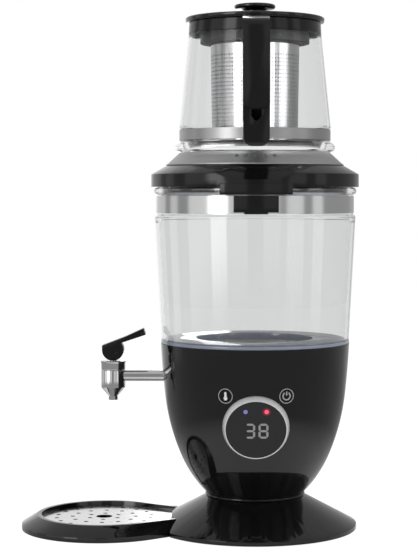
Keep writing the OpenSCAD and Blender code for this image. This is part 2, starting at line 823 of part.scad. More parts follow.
// Tank
lip_bulge = lip_h / 2;
groove_step = 0.8;
mouth_in = 1.2;
mouth_h = 1.6;
neck_bend = 2;
shoulder_bend = 5;
module glass_tank() {
    in_neck = tank_neck_r - tank_wall;
    in_shoulder = tank_shoulder_r - tank_wall;
    mid_lip = lip_z + lip_bulge;
    color([0.85, 0.9, 0.92, 0.35]) turn(concat(
        [[tank_foot_r - tank_wall, tank_z], [tank_foot_r, tank_z], [tank_shoulder_r, shoulder_z]],
        arc(tank_neck_r, shoulder_z, tank_groove, 0, 80, 5),
        [[tank_neck_r, shoulder_z + tank_groove + groove_step], [tank_neck_r, lip_z]],
        arc(tank_lip_r - lip_bulge, mid_lip, lip_bulge, -80, 90),
        [[in_neck + mouth_in, tank_top], [in_neck, tank_top - mouth_h], [in_neck, shoulder_z + neck_bend],
            [in_shoulder, shoulder_z - shoulder_bend]]));
}
band_split = 6;
band_play = 0.2;
module tank_band() {
    color("#c2c2c4") difference() {
        rotate([0, 0, -front + band_split / 2]) rotate_extrude(angle = 360 - band_split, $fn = 180)
            translate([tank_neck_r + band_play, band_z]) square([band_t, band_h]);
        for (side = [-1, 1]) at_buckle_screw(side) translate([0, 0, -band_t - over])
            cylinder(h = band_t + 2 * over, r = screw_r + slip, $fn = 32);
    }
}
buckle_rise = 1.2;
buckle_skin = 1;
buckle_h = band_h - buckle_rise;
clip_w = 21;
clip_drop = 0.4;
clip_h = 2;
clip_back = 1;
screw_sink = 0.4;
module buckle_slice(w, z, h, r_in, r_out) {
    intersection() {
        tube(r_out, r_in, z, h);
        translate([-w / 2, -big / 2, z - over]) cube([w, big / 2, h + 2 * over]);
    }
}
buckle_in = tank_neck_r + band_play + band_t + 2 * slip;
module band_buckle() {
    color("#1d1d1e") difference() {
        union() {
            buckle_slice(buckle_w, band_z + buckle_rise, buckle_h, buckle_in, buckle_in + buckle_t);
            buckle_slice(clip_w, band_z - clip_drop, clip_h, buckle_in, buckle_in + buckle_t - clip_back);
        }
        for (side = [-1, 1]) at_buckle_screw(side) translate([0, 0, -over])
            cylinder(h = over + buckle_t - buckle_skin, r = screw_r + slip, $fn = 32);
    }
}
module at_buckle_screw(side) {
    turn_by = side * asin(buckle_w / 4 / buckle_in);
    rotate([0, 0, turn_by]) translate([0, -buckle_in, band_z + band_h / 2]) rotate([90, 0, 0]) children();
}
module buckle_screws() color("#707072") for (side = [-1, 1]) at_buckle_screw(side) {
    translate([0, 0, -band_t - 2 * slip])
        cylinder(h = band_t + 2 * slip + buckle_t - buckle_skin - screw_sink, r = screw_r, $fn = 32);
}

// Tap
module at_tap(z) translate([tap_x, 0, z]) children();
gasket_t = 1.6;
gasket_w = 3.4;
gasket_r = pipe_r + gasket_w;
gasket_in = sqrt(pow(cup_r - cup_t, 2) - gasket_r * gasket_r) - fit;
gasket_out = cup_r + fit + gasket_t;
pipe_flange_t = 2;
pipe_flange_w = 4;
pipe_tail = 8;
module tap_pipe() {
    start = tap_out - chamber_r - over;
    stop = cup_r - pipe_tail;
    color("#d0d0d2") translate([0, 0, pipe_z]) rotate([0, -90, 0]) difference() {
        union() {
            translate([0, 0, stop]) cylinder(h = start - stop, r = pipe_r);
            translate([0, 0, gasket_out + slip]) cylinder(h = pipe_flange_t, r = pipe_r + pipe_flange_w);
        }
        translate([0, 0, stop - over]) cylinder(h = start - stop + 2 * over, r = pipe_bore_r);
    }
}
module washer(x, t, r) translate([-x, 0, pipe_z]) rotate([0, 90, 0]) difference() {
    cylinder(h = t, r = r);
    translate([0, 0, -over]) cylinder(h = t + 2 * over, r = pipe_r + slip);
}
module tap_gaskets() {
    color("#8a4a3a") washer(gasket_out, gasket_t, gasket_r);
    color("#8a4a3a") washer(gasket_in, gasket_t, gasket_r);
}
nut_wall = 3.8;
nut_t = 4;
module tap_nut() {
    color("#b9a36a") translate([gasket_t - gasket_in, 0, pipe_z]) rotate([0, 90, 0]) difference() {
        cylinder(h = nut_t, r = pipe_r + nut_wall, $fn = 6);
        translate([0, 0, -over]) cylinder(h = nut_t + 2 * over, r = pipe_r + slip);
    }
}
seat_t = 1.2;
nozzle_h = 3.5;
tap_bevel = 0.6;
module tap_body() {
    color("#cfcfd1") difference() {
        at_tap(0) turn([[nozzle_bore, nozzle_z], [nozzle_r, nozzle_z], [nozzle_r, nozzle_z + nozzle_h],
            [tap_r, seat_z - seat_t], [tap_r, bonnet_z - tap_bevel], [tap_r - tap_bevel, bonnet_z],
            [chamber_r, bonnet_z], [chamber_r, seat_z], [nozzle_bore, seat_z]]);
        translate([0, 0, pipe_z]) rotate([0, -90, 0])
            cylinder(h = tap_out - chamber_r / 2, r = pipe_r + slip);
    }
}
spigot_h = 2;
bonnet_rim = 2.4;
module tap_bonnet() {
    color("#cfcfd1") at_tap(0) turn([[stem_r + slip, bonnet_z - spigot_h],
        [chamber_r - slip, bonnet_z - spigot_h], [chamber_r - slip, bonnet_z],
        [tap_r - tap_bevel, bonnet_z], [tap_r, bonnet_z + tap_bevel], [tap_r, bonnet_top - bonnet_rim],
        [tap_r + tap_bevel, bonnet_top], [stem_r + slip, bonnet_top]]);
}
plug_h = 3;
plug_gap = 1.4;
plug_r = chamber_r - plug_gap;
seat_gap = 0.1;
collar_t = 2;
stem_end = 2.4;
stem_sweep = 1;
module valve_stem() {
    low = seat_z + seat_gap + plug_h;
    color("#bdbdbf") difference() {
        at_tap(low) {
            cylinder(h = pin_z + stem_end - low, r = stem_r);
            cylinder(h = collar_t, r = plug_r);
        }
        translate([tap_x, 0, pin_z]) rotate([90, 0, 0])
            cylinder(h = lever_w, r = pin_r + slip, center = true);
    }
}
module valve_seal() color("#3b3b3d") at_tap(seat_z + seat_gap) cylinder(h = plug_h, r = plug_r);

// Closing spring, swept along its helix
spring_turns = 4;
spring_wire = 0.45;
spring_r = (stem_r + chamber_r) / 2;
spring_low = seat_z + seat_gap + plug_h + collar_t + spring_wire + seat_gap;
spring_high = bonnet_z - spigot_h - spring_wire - seat_gap;
spring_rings = 8 * spring_turns;
spring_sides = 6;
function spring_point(i, s) =
    let (t = i / spring_rings, a = 360 * spring_turns * t, b = 360 * s / spring_sides)
    let (r = spring_r + spring_wire * cos(b))
    [r * cos(a), r * sin(a), spring_low + (spring_high - spring_low) * t + spring_wire * sin(b)];
module valve_spring() {
    points = [for (i = [0:spring_rings], s = [0:spring_sides - 1]) spring_point(i, s)];
    last = spring_rings * spring_sides;
    sides = [for (i = [0:spring_rings - 1], s = [0:spring_sides - 1])
        let (a = i * spring_sides + s, b = i * spring_sides + (s + 1) % spring_sides)
        each [[a, a + spring_sides, b], [b, a + spring_sides, b + spring_sides]]];
    ends = [for (s = [1:spring_sides - 2]) each [[0, s, s + 1], [last, last + s + 1, last + s]]];
    color("#9a9a9c") at_tap(0) polyhedron(points, concat(sides, ends));
}

module lever_pin() {
    color("#a8a8aa") translate([tap_x, 0, pin_z]) rotate([90, 0, 0])
        cylinder(h = lever_w, r = pin_r, center = true);
}
lever_tip_t = 6.3;
lever_root_t = 4.2;
lever_top = 7.4;
lever_rise = 1.1;
lever_bend = 15.2;
lever_back = 1.6;
tip_in = 0.4;
root_out = 1;
crown_drop = 0.3;
module lever_blank() {
    back = lever_head_r + lever_back;
    intersection() {
        cylinder(h = lever_w, r = lever_head_r, center = true);
        translate([-big / 2, lever_top - crown_drop - big, -big / 2]) cube([big, big, big]);
    }
    linear_extrude(lever_w, center = true) {
        polygon([[-back, lever_top - lever_root_t], [-back, lever_top], [lever_bend, lever_top],
            [lever_arm, lever_top + lever_rise], [lever_arm - tip_in, lever_top + lever_rise - lever_tip_t],
            [lever_head_r + root_out, lever_top - lever_root_t]]);
    }
}
module tap_lever() {
    room = lever_head_r + stem_lift + 2 * over;
    sweep = stem_r + stem_sweep;
    color("#1a1a1b") difference() {
        translate([tap_x, 0, head_z]) rotate([90, 0, 0]) rotate([0, 0, lever_slope]) lever_blank();
        translate([tap_x - lever_head_r - big, -big / 2, 0]) cube([big, big, big]);
        translate([tap_x - room, -stem_slot / 2, pin_z - room])
            cube([room + sweep, stem_slot, room + sweep]);
        translate([tap_x, 0, pin_z]) rotate([90, 0, 0])
            cylinder(h = 2 * lever_w, r = pin_r + slip, center = true);
    }
}

// Tank lid
skirt_gap = 1.6;
skirt_r = tank_neck_r - tank_wall - skirt_gap;
dome_foot_w = 8;
module lid_envelope() {
    turn([[dome_base_r - dome_foot_w, lid_z], [lid_r, lid_z], [lid_r, cone_z], [dome_base_r, dome_z],
        [dome_base_r - dome_foot_w, dome_z]]);
}
scoop_rise = 2.7;
scoop_low = lid_z + scoop_rise;
scoop_in = 1.5;
scoop_back = dome_base_r - scoop_in;
scoop_drop = 0.6;
scoop_angle = atan((dome_z - scoop_drop - scoop_low) / (tab_r - scoop_back));
scoop_flare = 5.3;
scoop_spread = 14;
module scoop() {
    half_low = tab_w / 2;
    half_high = half_low + scoop_flare;
    half_top = half_high + scoop_spread;
    intersection() {
        translate([0, -tab_r, scoop_low]) rotate([scoop_angle, 0, 0]) translate([-big / 2, -big / 2, 0])
            cube([big, big, big]);
        rotate([90, 0, 0]) linear_extrude(2 * tab_r)
            polygon([[-half_low, scoop_low - over], [half_low, scoop_low - over], [half_high, cone_z],
                [half_top, dome_z + over], [-half_top, dome_z + over], [-half_high, cone_z]]);
    }
}
tab_drop = 7.2;
tab_gap = 0.8;
tab_in = tank_lip_r + tab_gap;
cone_bend = 1.4;
module tank_lid() {
    low = lid_z - lid_skirt_h;
    deck = lid_z + lid_t;
    color("#1c1c1d") difference() {
        union() {
            turn([[skirt_r - lid_t, low], [skirt_r, low], [skirt_r, lid_z], [lid_r, lid_z],
                [lid_r, cone_z], [dome_base_r, dome_z],
                [dome_base_r - dome_foot_w, dome_z], [dome_base_r - dome_foot_w, dome_z - lid_t],
                [dome_base_r - over, dome_z - lid_t], [lid_r - lid_t, cone_z - cone_bend],
                [lid_r - lid_t, deck], [skirt_r - lid_t, deck]]);
            intersection() {
                lid_envelope();
                translate([-tab_w / 2 - scoop_flare - scoop_spread - lid_t, -big / 2, 0])
                    cube([tab_w + 2 * (scoop_flare + scoop_spread + lid_t), big / 2, big]);
            }
            buckle_slice(tab_w, lid_z - tab_drop, scoop_low - lid_z + tab_drop, tab_in, tab_r);
        }
        scoop();
    }
}
lid_seal_up = 2;
lid_seal_h = 5;
module lid_seal() {
    color("#8d939e") tube(tank_neck_r - tank_wall - fit, skirt_r + slip,
        lid_z - lid_skirt_h + lid_seal_up, lid_seal_h);
}
vent_count = 5;
vent_step = 6.5;
vent_r = 1.7;
vent_drop = 4.4;
vent_cut = 6;
dome_hem = 0.5;
dome_bend = 0.4;
module lid_dome() {
    slope = atan(dome_h / (dome_base_r - dome_top_r));
    vent_z = dome_top - vent_drop;
    vent_at = dome_top_r + vent_drop / tan(slope);
    color("#b4b4b6") difference() {
        turn([[dome_base_r + dome_hem, dome_z], [dome_base_r + dome_hem, dome_z + dome_t],
            [dome_base_r - dome_bend, dome_z + dome_t], [dome_top_r, dome_top],
            [dome_hole_r, dome_top], [dome_hole_r, dome_top - dome_t],
            [dome_top_r - dome_bend, dome_top - dome_t], [dome_base_r - dome_bend - dome_t, dome_z]]);
        for (i = [0:vent_count - 1]) rotate([0, 0, (i - (vent_count - 1) / 2) * vent_step]) {
            translate([0, -vent_at, vent_z]) rotate([slope, 0, 0])
                cylinder(h = vent_cut, r = vent_r, center = true, $fn = 32);
        }
    }
}

// Teapot
notch_w = 16;
foot_bulge = 4.2;
foot_flat = 2;
kick_w = 7;
waist_lip = 1;
band_edge = 0.6;
bead_h = 1.2;
bead_w = 1;
neck_h = 3;
pot_bend = 2;
pot_bend_h = 8;
pot_round = 6;
module teapot_glass() {
    lift = pot_top - bead_h;
    in_low = pot_low_r - pot_wall;
    in_high = pot_high_r - pot_wall;
    in_rim = pot_rim_r - pot_wall;
    foot_c = pot_foot_r - foot_bulge;
    floor_top = pot_floor_z + pot_floor_t;
    color([0.86, 0.9, 0.92, 0.35]) difference() {
        turn(concat([[0, pot_floor_z], [foot_c - kick_w, pot_floor_z], [foot_c - foot_flat, pot_z]],
            arc(foot_c, pot_z + foot_bulge, foot_bulge, -90, 60),
            [[waist_r, waist_z - waist_lip], [waist_r, waist_z + pot_band_h + band_edge],
            [pot_low_r, pot_body_z], [pot_high_r, collar_z - band_edge],
            [pot_rim_r, collar_z], [pot_rim_r, lift], [pot_rim_r - bead_w, pot_top],
            [in_rim + band_edge, pot_top], [in_rim, lift],
            [in_rim, collar_z], [in_high, collar_z - neck_h], [in_low, pot_body_z + pot_bend],
            [in_low - pot_bend, waist_z + pot_bend_h],
            [in_low - pot_bend, waist_z - pot_bend], [in_low - pot_round, floor_top], [0, floor_top]]));
        translate([-notch_w / 2, 0, collar_z + notch_rise]) cube([notch_w, big, big]);
    }
}
module teapot_band() {
    color("#b0b0b2") tube(waist_r + band_play + band_t, waist_r + band_play, waist_z, pot_band_h);
}
beak_out = 13;
beak_w = 8;
beak_wall = 1.6;
beak_h = 3;
beak_drop = 4;
notch_rise = 2;
collar_play = 0.2;
collar_draft = 0.5;
seat_gap_r = 1.3;
lug_w = 12;
lug_h = 6;
lug_out = 8;
lug_rise = 1.5;
lug_root = 1.4;
module teapot_collar() {
    wall_in = pot_rim_r + collar_play;
    seat_in = infuser_ring_r + seat_gap_r;
    face = pot_high_r - collar_draft;
    groove = beak_w - 2 * beak_wall;
    color("#1a1a1b") difference() {
        union() {
            turn([[wall_in, collar_z], [pot_high_r, collar_z], [face, collar_top], [collar_in, collar_top],
                [collar_in, collar_seat], [seat_in, collar_seat], [seat_in, pot_top + collar_play],
                [wall_in, pot_top + collar_play]]);
            difference() {
                hull() {
                    translate([-notch_w / 2 - notch_rise, pot_rim_r, collar_z])
                        cube([notch_w + 2 * notch_rise, notch_rise, pot_top - collar_z - over]);
                    translate([-beak_w / 2, pot_rim_r + beak_out, pot_top - beak_drop])
                        cube([beak_w, over, beak_h]);
                }
                cylinder(h = big, r = wall_in);
            }
            translate([-lug_w / 2, -pot_high_r - lug_out, collar_z + lug_rise])
                cube([lug_w, lug_out + lug_root, lug_h]);
        }
        hull() {
            translate([-notch_w / 2, pot_rim_r - beak_h, collar_z + notch_rise])
                cube([notch_w, beak_h, pot_top - collar_z]);
            translate([-groove / 2, pot_rim_r + beak_out + 2 * over, pot_top - beak_drop + notch_rise])
                cube([groove, over, beak_h]);
        }
    }
}
grip_corner = 9;
grip_inner = 7;
handle_play = 0.7;
root_drop = 4;
root_rise = 4.4;
root_slope = 5;
root_top = 1.2;
tongue_h = 13;
lid_play = 1.2;
seam_sag = 2.2;
module seam_round(play) {
    half = handle_w / 2;
    bow = (half * half + seam_sag * seam_sag) / (2 * seam_sag);
    translate([0, 0, seam_z - seam_sag + bow]) rotate([90, 0, 0]) cylinder(h = big, r = bow + play, $fn = 180);
}
module handle_side() {
    back = pot_high_r + handle_play;
    polygon(concat([[back, collar_z - root_drop], [back, collar_top - root_rise],
        [back + root_slope, collar_top + root_top]],
        arc(handle_out - grip_corner, handle_top - grip_corner, grip_corner, 84, 0),
        [[handle_out, seam_z - seam_sag], [grip_back + tongue_t, seam_z - seam_sag],
            [grip_back + tongue_t, seam_z - tongue_h],
            [grip_back, seam_z - tongue_h]],
        arc(grip_back - grip_inner, collar_z - root_drop - grip_inner, grip_inner, 0, 90)));
}
module teapot_handle() {
    lug_y = -pot_high_r - lug_out;
    color("#1a1a1b") difference() {
        rotate([90, 0, -90]) linear_extrude(handle_w, center = true) handle_side();
        translate([0, 0, collar_z - grip_corner])
            cylinder(h = big / 4, r = pot_high_r + handle_play, $fn = 180);
        translate([0, 0, collar_top - screw_sink])
            cylinder(h = big / 4, r = pot_lid_r + lid_play, $fn = 180);
        translate([-lug_w / 2 - slip, lug_y - slip, collar_z + lug_rise - slip])
            cube([lug_w + 2 * slip, lug_out + 2 * over, lug_h + 2 * slip]);
        translate([0, lug_y + lug_out / 2, collar_z + lug_rise - big / 8])
            cylinder(h = big / 8, r = screw_head_r + slip);
        at_handle_screw() translate([0, 0, -tongue_t - grip_t]) cylinder(h = big / 4, r = screw_r + slip);
        difference() {
            translate([-big / 2, -big - grip_back - tongue_t, seam_z - 2 * seam_sag])
                cube([big, big, 2 * seam_sag]);
            seam_round(0);
        }
    }
}
screw_drop = 8.2;
module at_handle_screw() translate([0, -grip_back - tongue_t, seam_z - screw_drop])
    rotate([90, 0, 0]) children();
bracket_drop = 1.5;
arm_low = 1.5;
arm_high = 0.5;
arm_in = 0.4;
arm_fillet = 6;
arm_top = 4;
seam_gap = 0.2;
side_gap = 0.3;
toe_in = 2;
toe_h = 3;
corner_w = 1.6;
corner_h = 6.5;
corner_rise = 3.2;
toe_half = 7.4;
toe_rise = 1.1;
flat_half = 4.7;
recess_at = 3;
recess_w = 4.6;
recess_up = 5.2;
recess_mid = 0.5;
recess_tip = 1.6;
module handle_bracket() {
    back = waist_r + band_t + arm_in;
    root = back - toe_h;
    face = handle_out - bracket_drop;
    plate_in = grip_back + tongue_t + 2 * slip;
    low = waist_z + arm_low;
    high = waist_z + pot_band_h - arm_high;
    half = handle_w / 2 - side_gap;
    seam = seam_z - seam_gap;
    color("#181819") difference() {
        intersection() {
            rotate([90, 0, -90]) linear_extrude(2 * half, center = true) {
                polygon([[root, low], [plate_in - arm_fillet, low],
                    [plate_in + toe_in, handle_low + toe_in],
                    [face - toe_in, handle_low], [face, handle_low + toe_h], [face, seam], [plate_in, seam],
                    [plate_in, seam - tongue_h], [grip_back - toe_in, seam - tongue_h],
                    [grip_back - arm_top, high], [root, high]]);
            }
            rotate([90, 0, 0]) linear_extrude(handle_out)
                polygon([[-half, handle_low + corner_h], [-half + corner_w, handle_low + corner_rise],
                    [-toe_half, handle_low + toe_rise], [-flat_half, handle_low], [flat_half, handle_low],
                    [toe_half, handle_low + toe_rise], [half - corner_w, handle_low + corner_rise],
                    [half, handle_low + corner_h], [half, seam_z], [-half, seam_z]]);
        }
        translate([0, 0, waist_z - big / 16]) cylinder(h = big / 4, r = back, $fn = 180);
        seam_round(seam_gap);
        at_handle_screw() translate([0, 0, -big / 8]) cylinder(h = big / 4, r = screw_r + slip);
        at_handle_screw() translate([0, 0, recess_at]) linear_extrude(big / 8)
            polygon([[-recess_w, recess_up], [-recess_w, -recess_mid], [-recess_tip, -recess_w],
                [recess_tip, -recess_w], [recess_w, -recess_mid], [recess_w, recess_up]]);
    }
}
module handle_screws() {
    color("#707072") at_handle_screw() translate([0, 0, recess_at + screw_head_h]) rotate([180, 0, 0])
        screw(recess_at + tongue_t - screw_tip);
    color("#707072") translate([0, -pot_high_r - lug_out / 2, collar_z + lug_rise - screw_head_h - slip])
        cylinder(h = screw_head_h, r = screw_head_r);
}

plug_depth = 9;
plug_play = 1;
plug_wall = 2;
rim_draft = 0.6;
rim_round = 1.6;
steam_hole_r = 2;
steam_hole_in = 12;
module teapot_lid() {
    plug_out = ring_in - plug_play;
    plug_in = plug_out - plug_wall;
    color("#1b1b1c") difference() {
        turn(concat([[0, pot_lid_z], [plug_in, pot_lid_z], [plug_in, pot_lid_z - plug_depth],
            [plug_out, pot_lid_z - plug_depth], [plug_out, pot_lid_z], [pot_lid_r - rim_draft, pot_lid_z]],
            arc(pot_lid_r - rim_round, pot_lid_top - rim_round, rim_round, 0, 90, 4), [[0, pot_lid_top]]));
        translate([0, 0, pot_lid_z - over]) cylinder(h = pot_lid_t + 2 * over, r = screw_r + slip);
        translate([0, ring_in - steam_hole_in, pot_lid_z - over])
            cylinder(h = pot_lid_t + 2 * over, r = steam_hole_r);
    }
}
knob_stem_r = 10.5;
knob_edge = 2.2;
knob_draft = 0.6;
knob_bend = 2;
knob_bend_h = 1.4;
module lid_knob() {
    under = knob_top - 2 * knob_edge;
    color("#1a1a1b") difference() {
        turn(concat([[0, pot_lid_top], [knob_stem_r, pot_lid_top],
            [knob_stem_r - knob_draft, under - knob_bend_h], [knob_stem_r + knob_bend, under]],
            arc(knob_r - knob_edge, knob_top - knob_edge, knob_edge, -90, 90), [[0, knob_top]]));
        translate([0, 0, pot_lid_top - over]) cylinder(h = screw_bite + 2 * over, r = screw_r + slip);
    }
}
module knob_screw() color("#8c8c8e") translate([0, 0, pot_lid_z - screw_head_h])
    screw(pot_lid_t + screw_bite);

// Infuser
hook_w = 2;
hook_play = 0.1;
hook_out = ring_in + hook_w;
skirt_h = 1.7;
ring_t = 1.4;
module infuser_ring() {
    slot_low = hook_z - hook_play;
    slot_high = hook_z + basket_t + hook_play;
    color("#1a1a1b") turn([[ring_in, ring_low - skirt_h], [ring_in + ring_t, ring_low - skirt_h],
        [ring_in + ring_t, ring_low], [infuser_ring_r, ring_low], [infuser_ring_r, infuser_z],
        [ring_flange_r, infuser_z], [ring_flange_r, infuser_z + ring_t], [ring_in, infuser_z + ring_t],
        [ring_in, slot_high], [hook_out + hook_play, slot_high], [hook_out + hook_play, slot_low],
        [ring_in, slot_low]]);
}
basket_round = 2;
module infuser_basket() {
    bend = basket_round + hook_play;
    color("#b6b6b8") turn([[0, basket_z], [basket_low_r - basket_round, basket_z],
        [basket_low_r, basket_z + basket_round], [basket_top_r, hook_z], [hook_out, hook_z],
        [hook_out, hook_z + basket_t], [basket_top_r - basket_t, hook_z + basket_t],
        [basket_low_r - basket_t, basket_z + bend], [basket_low_r - bend, basket_z + basket_t],
        [0, basket_z + basket_t]]);
}

// Drip tray
tray_x = -tray_out;
tray_edge = 4.5;
tray_end = dock_x + fit;
tray_lip = 4;
ledge = 3;
end_reach = 12;
end_in = 35;
end_half = tray_rim_r - end_in;
end_spread = 11.5;
sides = 120;
seam_lap = 0.02;
plate_play = 0.4;
plate_rest = 0.2;
plate_top = tray_h - plate_drop;
// Outline of a round pan with sides that close in on the foot
module teardrop(r, end, half) {
    far = tray_out - end;
    lean = acos((r * far - half * sqrt(far * far + half * half - r * r)) / (far * far + half * half));
    near = r - seam_lap;
    translate([tray_x, 0]) union() {
        circle(r, $fn = 180);
        polygon([[near * cos(lean), -near * sin(lean)], [far, -half], [far, half],
            [near * cos(lean), near * sin(lean)]]);
    }
}
// Room that the foot needs, with its docking face and its cone
module foot_clearance() {
    lift = fit / cos(foot_slope);
    intersection() {
        turn([[0, -over], [foot_r + fit, -over], [foot_r + fit, foot_z + foot_edge_h + lift],
            [neck_r, neck_z + lift], [0, neck_z + lift]]);
        translate([-tray_end, -big / 2, -2 * over]) cube([big, big, big]);
    }
}
module short_of(x) intersection() {
    children();
    translate([-x - big, -big / 2, -big / 2]) cube([big, big, big]);
}
module drip_tray() {
    far = tray_end - end_reach;
    color("#1b1b1c") difference() {
        short_of(far) hull() {
            translate([tray_x, 0, 0]) cylinder(h = tray_edge, r = tray_r, $fn = sides);
            translate([tray_x, 0, 0]) cylinder(h = tray_h, r = tray_rim_r, $fn = sides);
            translate([-far - over, -end_half - end_spread, 0])
                cube([over, 2 * (end_half + end_spread), tray_edge]);
            translate([-far - over, -end_half, 0]) cube([over, 2 * end_half, tray_h]);
        }
        foot_clearance();
        translate([0, 0, plate_top - plate_t - plate_rest]) linear_extrude(tray_h)
            teardrop(tray_rim_r - tray_lip, far, end_half - tray_lip);
        short_of(tray_end + tray_lip + ledge) translate([0, 0, tray_floor]) linear_extrude(tray_h)
            teardrop(tray_rim_r - tray_lip - ledge, far, end_half - tray_lip - ledge);
    }
}
hole_pitch = 14.66;
hole_rows = 3;
hole_step = 6;
drain_r = 7.5;
module drip_plate() {
    gap = tray_lip + plate_play;
    color("#c6c6c8") difference() {
        short_of(tray_end + plate_play) translate([0, 0, plate_top - plate_t]) linear_extrude(plate_t)
            teardrop(tray_rim_r - gap, tray_end - end_reach, end_half - gap);
        translate([tray_x, 0, 0]) {
            cylinder(h = tray_h, r = drain_r);
            for (row = [1:hole_rows]) ring_of(row * hole_step, row * hole_pitch, front)
                cylinder(h = tray_h, r = plate_hole / 2, $fn = 32);
        }
    }
}

base_foot();
base_cover();
foot_pad();
cover_screws();
cord_gland();
neck_ring();
neck_screws();
lower_housing();
boiler_cup();
heater_plate();
heater_ring();
element_leads();
temp_sensor();
thermal_cutout();
power_board();
board_screws();
seal_ring();
display_bezel();
display_window();
display_digits();
digit_module();
display_board();
warm_led();
heat_led();
warm_key();
power_key();
key_switches();
key_boards();
glass_tank();
tank_band();
band_buckle();
buckle_screws();
tap_pipe();
tap_gaskets();
tap_nut();
tap_body();
tap_bonnet();
valve_stem();
valve_seal();
valve_spring();
lever_pin();
tap_lever();
tank_lid();
lid_seal();
lid_dome();
teapot_glass();
teapot_band();
teapot_collar();
teapot_handle();
handle_bracket();
handle_screws();
teapot_lid();
lid_knob();
knob_screw();
infuser_ring();
infuser_basket();
drip_tray();
drip_plate();
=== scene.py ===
import json
import math
import bpy
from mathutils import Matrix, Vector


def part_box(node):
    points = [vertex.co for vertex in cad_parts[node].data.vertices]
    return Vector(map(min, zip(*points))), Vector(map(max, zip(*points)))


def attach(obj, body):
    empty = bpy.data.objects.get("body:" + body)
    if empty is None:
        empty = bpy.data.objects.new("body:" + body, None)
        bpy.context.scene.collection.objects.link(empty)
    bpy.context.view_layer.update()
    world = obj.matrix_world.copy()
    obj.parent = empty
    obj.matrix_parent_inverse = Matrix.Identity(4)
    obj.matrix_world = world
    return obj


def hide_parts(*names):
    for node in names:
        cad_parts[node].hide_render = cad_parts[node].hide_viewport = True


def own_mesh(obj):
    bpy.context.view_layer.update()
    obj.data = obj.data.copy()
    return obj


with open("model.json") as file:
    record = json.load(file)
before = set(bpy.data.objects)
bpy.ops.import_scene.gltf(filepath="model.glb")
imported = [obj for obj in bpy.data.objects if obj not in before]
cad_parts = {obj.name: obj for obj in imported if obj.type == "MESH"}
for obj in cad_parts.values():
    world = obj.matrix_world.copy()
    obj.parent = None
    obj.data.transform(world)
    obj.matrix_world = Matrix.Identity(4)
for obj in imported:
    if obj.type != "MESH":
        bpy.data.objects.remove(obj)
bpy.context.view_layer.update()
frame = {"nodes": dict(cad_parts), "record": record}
cad = frame["nodes"]
mm = 0.001
scene = bpy.context.scene
scene.view_settings.view_transform = "Standard"
bpy.ops.object.select_all(action="DESELECT")
print("samovar: frame loaded with", len(cad), "nodes")


# camera, set to the photo's own view
shot = {"lens": 108.4, "eye": (-0.0188, -1.5399, 0.3068), "shift": (-0.0476, -0.1429)}
lensData = bpy.data.cameras.new("photoCamera")
lensData.lens = shot["lens"]
lensData.sensor_width = 36
lensData.clip_end = 50
lensData.shift_x, lensData.shift_y = shot["shift"]
photoCamera = bpy.data.objects.new("photoCamera", lensData)
photoCamera.location = shot["eye"]
photoCamera.rotation_euler = (math.radians(90), 0, 0)
scene.collection.objects.link(photoCamera)
scene.camera = photoCamera


# a socket with arithmetic, so that shader maths reads as plain expressions
class Wire:
    def __init__(self, finish, socket):
        self.finish = finish
        self.socket = socket

    def math(self, kind, first, second):
        return self.finish.add("ShaderNodeMath", {"operation": kind}, {0: first, 1: second})

    def __add__(self, other):
        return self.math("ADD", self, other)

    def __radd__(self, other):
        return self.math("ADD", other, self)

    def __sub__(self, other):
        return self.math("SUBTRACT", self, other)

    def __rsub__(self, other):
        return self.math("SUBTRACT", other, self)

    def __mul__(self, other):
        return self.math("MULTIPLY", self, other)

    def __rmul__(self, other):
        return self.math("MULTIPLY", other, self)

    def __pow__(self, other):
        return self.math("POWER", self, other)

    def above(self, limit):
        return self.math("GREATER_THAN", self, limit)

    def below(self, limit):
        return self.math("LESS_THAN", self, limit)


class Finish:
    def __init__(self, tree):
        self.tree = tree
        tree.nodes.clear()

    def add(self, kind, settings, sockets, out=0):
        made = self.tree.nodes.new(kind)
        for key, value in settings.items():
            setattr(made, key, value)
        for key, value in sockets.items():
            if isinstance(value, Wire):
                self.tree.links.new(value.socket, made.inputs[key])
            else:
                made.inputs[key].default_value = value
        return Wire(self, made.outputs[out] if made.outputs else None)

    def place(self, stretch):
        spot = self.add("ShaderNodeTexCoord", {}, {}, "Object")
        return self.add("ShaderNodeMapping", {}, {"Vector": spot, "Scale": stretch})

    def axes(self, kind="Object"):
        spot = self.add("ShaderNodeTexCoord", {}, {}, kind)
        return [self.add("ShaderNodeSeparateXYZ", {}, {0: spot}, axis) for axis in "XYZ"]

    def ray(self, kind):
        return self.add("ShaderNodeLightPath", {}, {}, kind)

    def noise(self, scale, detail=2.0, stretch=(1, 1, 1), rough=0.5):
        return self.add("ShaderNodeTexNoise", {}, {"Vector": self.place(stretch), "Scale": scale,
                                                   "Detail": detail, "Roughness": rough}, "Fac")

    def blend(self, part, first, second):
        return self.add("ShaderNodeMix", {"data_type": "RGBA"}, {0: part, 6: first, 7: second}, 2)

    def bump(self, height, strength, depth):
        return self.add("ShaderNodeBump", {}, {"Height": height, "Strength": strength, "Distance": depth})

    def skin(self, **sockets):
        names = {key: key.replace("_", " ") for key in sockets}
        return self.add("ShaderNodeBsdfPrincipled", {}, {names[key]: value for key, value in sockets.items()})

    def surface(self, **sockets):
        self.add("ShaderNodeOutputMaterial", {}, {"Surface": self.skin(**sockets)})


def material(name):
    made = bpy.data.materials.new(name)
    made.use_nodes = True
    return made, Finish(made.node_tree)


def shade4(colour):
    return (*colour, 1.0)


# moulded plastic: a fine grain and faint cloudiness
blackIndex = 1.38


def plastic(name, colour, paler, rough, grain, ior=1.5):
    made, f = material(name)
    cloud = f.noise(22.0, 3.0)
    fine = f.noise(900.0, 2.0)
    tone = f.blend(cloud * 0.6 + fine * 0.25, shade4(colour), shade4(paler))
    f.surface(Base_Color=tone, Roughness=rough + cloud * 0.05 + fine * 0.03, IOR=ior,
              Normal=f.bump(fine, grain, 0.0004))
    return made


